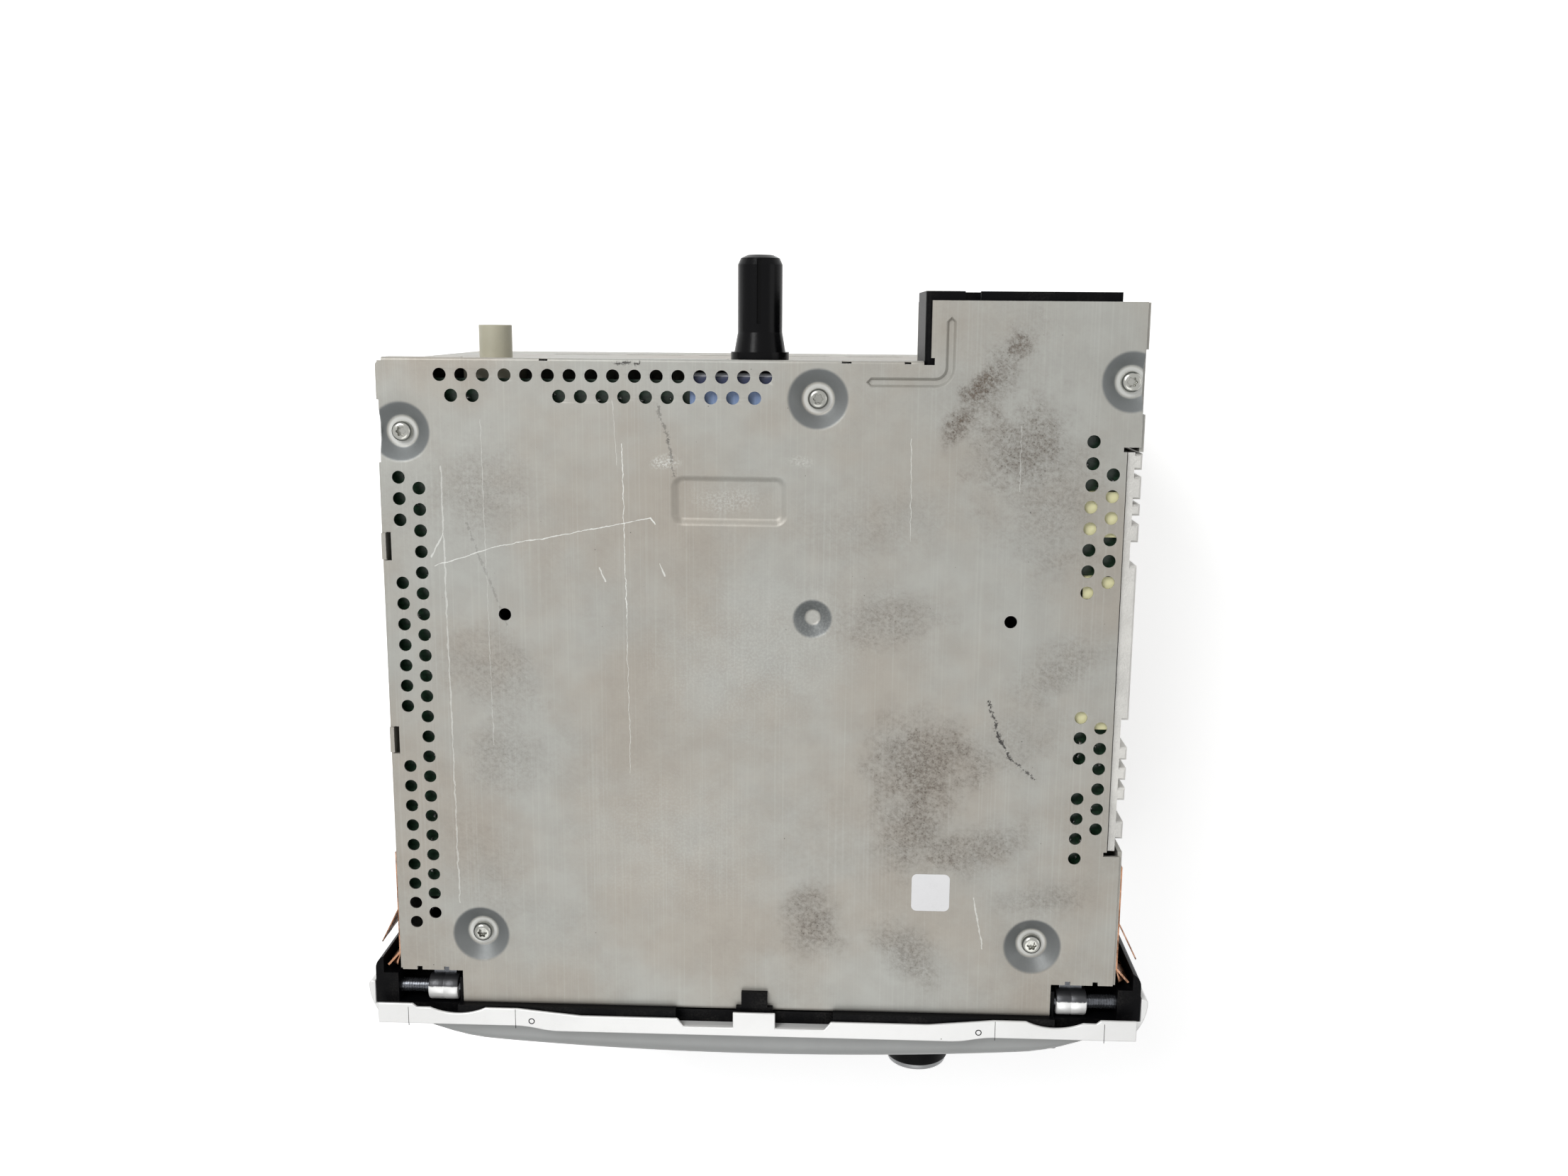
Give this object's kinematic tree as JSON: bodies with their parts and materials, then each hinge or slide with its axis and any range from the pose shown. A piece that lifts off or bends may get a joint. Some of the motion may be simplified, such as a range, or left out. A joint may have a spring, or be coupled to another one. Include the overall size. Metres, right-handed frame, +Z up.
{
  "type": "car cd player",
  "caption": "Double-height built-in car disc player: sheet metal case with ventilation holes, moulded front with rotary knob and keys, slot-loading disc deck and rear connectors.",
  "frame": {"origin": "on the underside of the case, in the middle of its width and, within a millimetre, of its depth", "axes": "+Z up from the underside to the top cover, +Y from the front face to the rear connectors, +X to the right as the driver sees the front"},
  "size_m": [0.193, 0.2046, 0.1],
  "materials": {
    "sheet_steel": "satin",
    "steel": "satin",
    "copper": "satin",
    "black_plastic": "satin",
    "silver_paint": "satin",
    "grey_panel": "satin",
    "clear_black": "gloss",
    "green_board": "satin",
    "cream": "satin",
    "aluminium": "rough",
    "rubber": "matt",
    "ribbon_blue": "satin",
    "optic": "gloss"
  },
  "bodies": {
    "case": {"amplifier_chip": "black_plastic", "antenna_contact": "steel", "antenna_jack": "cream", "board_nuts": "steel", "bottom_cover": "sheet_steel", "capacitors": "black_plastic", "centre_panel": "grey_panel", "connector_pins": "steel", "cover_screws": "sheet_steel", "deck_dampers": "rubber", "deck_frame": "sheet_steel", "deck_posts": "steel", "disc_guide": "black_plastic", "display_lens": "clear_black", "display_module": "clear_black", "encoder": "black_plastic", "frame_screws": "sheet_steel", "front_board": "green_board", "front_frame": "black_plastic", "guide_rods": "steel", "heat_sink": "aluminium", "loading_motor": "steel", "locating_post": "black_plastic", "main_board": "green_board", "main_connector": "cream", "ribbon_cable": "ribbon_blue", "ribbon_socket": "cream", "side_frame": "sheet_steel", "silver_bezel": "silver_paint", "sled_motor": "steel", "spindle_motor": "steel", "spring_strip_left": "copper", "spring_strip_right": "copper", "terminal_blocks": "cream", "top_cover": "sheet_steel", "tuner_can": "sheet_steel"},
    "encoder_shaft": {"encoder_shaft": "steel"},
    "knob": {"knob": "black_plastic"},
    "key_1": {"key_1": "black_plastic"},
    "key_2": {"key_2": "black_plastic"},
    "key_3": {"key_3": "black_plastic"},
    "key_4": {"key_4": "black_plastic"},
    "key_5": {"key_5": "black_plastic"},
    "key_6": {"key_6": "black_plastic"},
    "key_source": {"key_source": "black_plastic"},
    "key_eject": {"key_eject": "black_plastic"},
    "slot_flap": {"slot_flap": "black_plastic"},
    "latch_left": {"latch_left": "black_plastic"},
    "latch_right": {"latch_right": "black_plastic"},
    "spring_blade_left": {"spring_blade_left": "copper"},
    "spring_blade_right": {"spring_blade_right": "copper"},
    "turntable": {"turntable": "black_plastic"},
    "clamp_arm": {"clamp_arm": "sheet_steel"},
    "clamp_disc": {"clamp_disc": "black_plastic"},
    "pickup": {"pickup_sled": "black_plastic", "pickup_lens": "optic"},
    "lead_screw": {"lead_screw": "steel"},
    "loading_roller": {"loading_roller": "rubber"},
    "loading_gear": {"loading_gear": "cream"},
    "motor_pinion": {"motor_pinion": "cream"}
  },
  "joints": [
    {"name": "knob_turn", "type": "hinge", "parent": "case", "child": "encoder_shaft", "pos_m": [0.0414, -0.09, 0.077], "axis": [0, 1, 0], "continuous": true},
    {"name": "knob_press", "type": "slide", "parent": "encoder_shaft", "child": "knob", "axis": [0, 1, 0], "range_m": [0, 0.0008], "stiffness_N_per_m": 600, "springref_m": -0.0003},
    {"name": "key_1_press", "type": "slide", "parent": "case", "child": "key_1", "axis": [0, 1, 0], "range_m": [0, 0.001], "stiffness_N_per_m": 300, "springref_m": -0.0003},
    {"name": "key_2_press", "type": "slide", "parent": "case", "child": "key_2", "axis": [0, 1, 0], "range_m": [0, 0.001], "stiffness_N_per_m": 300, "springref_m": -0.0003},
    {"name": "key_3_press", "type": "slide", "parent": "case", "child": "key_3", "axis": [0, 1, 0], "range_m": [0, 0.001], "stiffness_N_per_m": 300, "springref_m": -0.0003},
    {"name": "key_4_press", "type": "slide", "parent": "case", "child": "key_4", "axis": [0, 1, 0], "range_m": [0, 0.001], "stiffness_N_per_m": 300, "springref_m": -0.0003},
    {"name": "key_5_press", "type": "slide", "parent": "case", "child": "key_5", "axis": [0, 1, 0], "range_m": [0, 0.001], "stiffness_N_per_m": 300, "springref_m": -0.0003},
    {"name": "key_6_press", "type": "slide", "parent": "case", "child": "key_6", "axis": [0, 1, 0], "range_m": [0, 0.001], "stiffness_N_per_m": 300, "springref_m": -0.0003},
    {"name": "key_source_press", "type": "slide", "parent": "case", "child": "key_source", "axis": [0, 1, 0], "range_m": [0, 0.001], "stiffness_N_per_m": 300, "springref_m": -0.0003},
    {"name": "key_eject_press", "type": "slide", "parent": "case", "child": "key_eject", "axis": [0, 1, 0], "range_m": [0, 0.001], "stiffness_N_per_m": 300, "springref_m": -0.0003},
    {"name": "flap_swing", "type": "hinge", "parent": "case", "child": "slot_flap", "pos_m": [0, -0.0778, 0.051], "axis": [1, 0, 0], "range_deg": [0, 60], "stiffness_Nm_per_rad": 0.002},
    {"name": "latch_left_tip", "type": "hinge", "parent": "case", "child": "latch_left", "pos_m": [-0.078, -0.0759, 0.0932], "axis": [1, 0, 0], "range_deg": [-12, 0], "stiffness_Nm_per_rad": 0.01},
    {"name": "latch_right_tip", "type": "hinge", "parent": "case", "child": "latch_right", "pos_m": [0.078, -0.0759, 0.0932], "axis": [1, 0, 0], "range_deg": [-12, 0], "stiffness_Nm_per_rad": 0.01},
    {"name": "blade_left_press", "type": "hinge", "parent": "case", "child": "spring_blade_left", "pos_m": [-0.08875, -0.05485, 0.0875], "axis": [0, 0, 1], "range_deg": [0, 20], "stiffness_Nm_per_rad": 0.05},
    {"name": "blade_right_press", "type": "hinge", "parent": "case", "child": "spring_blade_right", "pos_m": [0.08875, -0.05485, 0.0875], "axis": [0, 0, 1], "range_deg": [-20, 0], "stiffness_Nm_per_rad": 0.05},
    {"name": "disc_spin", "type": "hinge", "parent": "case", "child": "turntable", "pos_m": [0, 0, 0.044], "axis": [0, 0, 1], "continuous": true},
    {"name": "clamp_lift", "type": "hinge", "parent": "case", "child": "clamp_arm", "pos_m": [0, 0.058, 0.0522], "axis": [1, 0, 0], "range_deg": [-6, 0], "stiffness_Nm_per_rad": 0.1},
    {"name": "clamp_spin", "type": "hinge", "parent": "clamp_arm", "child": "clamp_disc", "pos_m": [0, 0, 0.049], "axis": [0, 0, 1], "continuous": true},
    {"name": "sled_travel", "type": "slide", "parent": "case", "child": "pickup", "axis": [1, 0, 0], "range_m": [0, 0.032]},
    {"name": "lead_screw_turn", "type": "hinge", "parent": "case", "child": "lead_screw", "pos_m": [0.036, -0.03, 0.0385], "axis": [1, 0, 0], "continuous": true},
    {"name": "roller_turn", "type": "hinge", "parent": "case", "child": "loading_roller", "pos_m": [0, -0.064, 0.0429], "axis": [1, 0, 0], "continuous": true},
    {"name": "idler_turn", "type": "hinge", "parent": "case", "child": "loading_gear", "pos_m": [0.0657, -0.052, 0.0429], "axis": [1, 0, 0], "continuous": true},
    {"name": "pinion_turn", "type": "hinge", "parent": "case", "child": "motor_pinion", "pos_m": [0.063, -0.04242, 0.0404], "axis": [1, 0, 0], "continuous": true}
  ],
  "couplings": [
    {"joint": "lead_screw_turn", "follows": "sled_travel", "rad_per_m": 1570.8},
    {"joint": "idler_turn", "follows": "roller_turn", "ratio": -0.66667},
    {"joint": "pinion_turn", "follows": "roller_turn", "ratio": 1.7778}
  ]
}
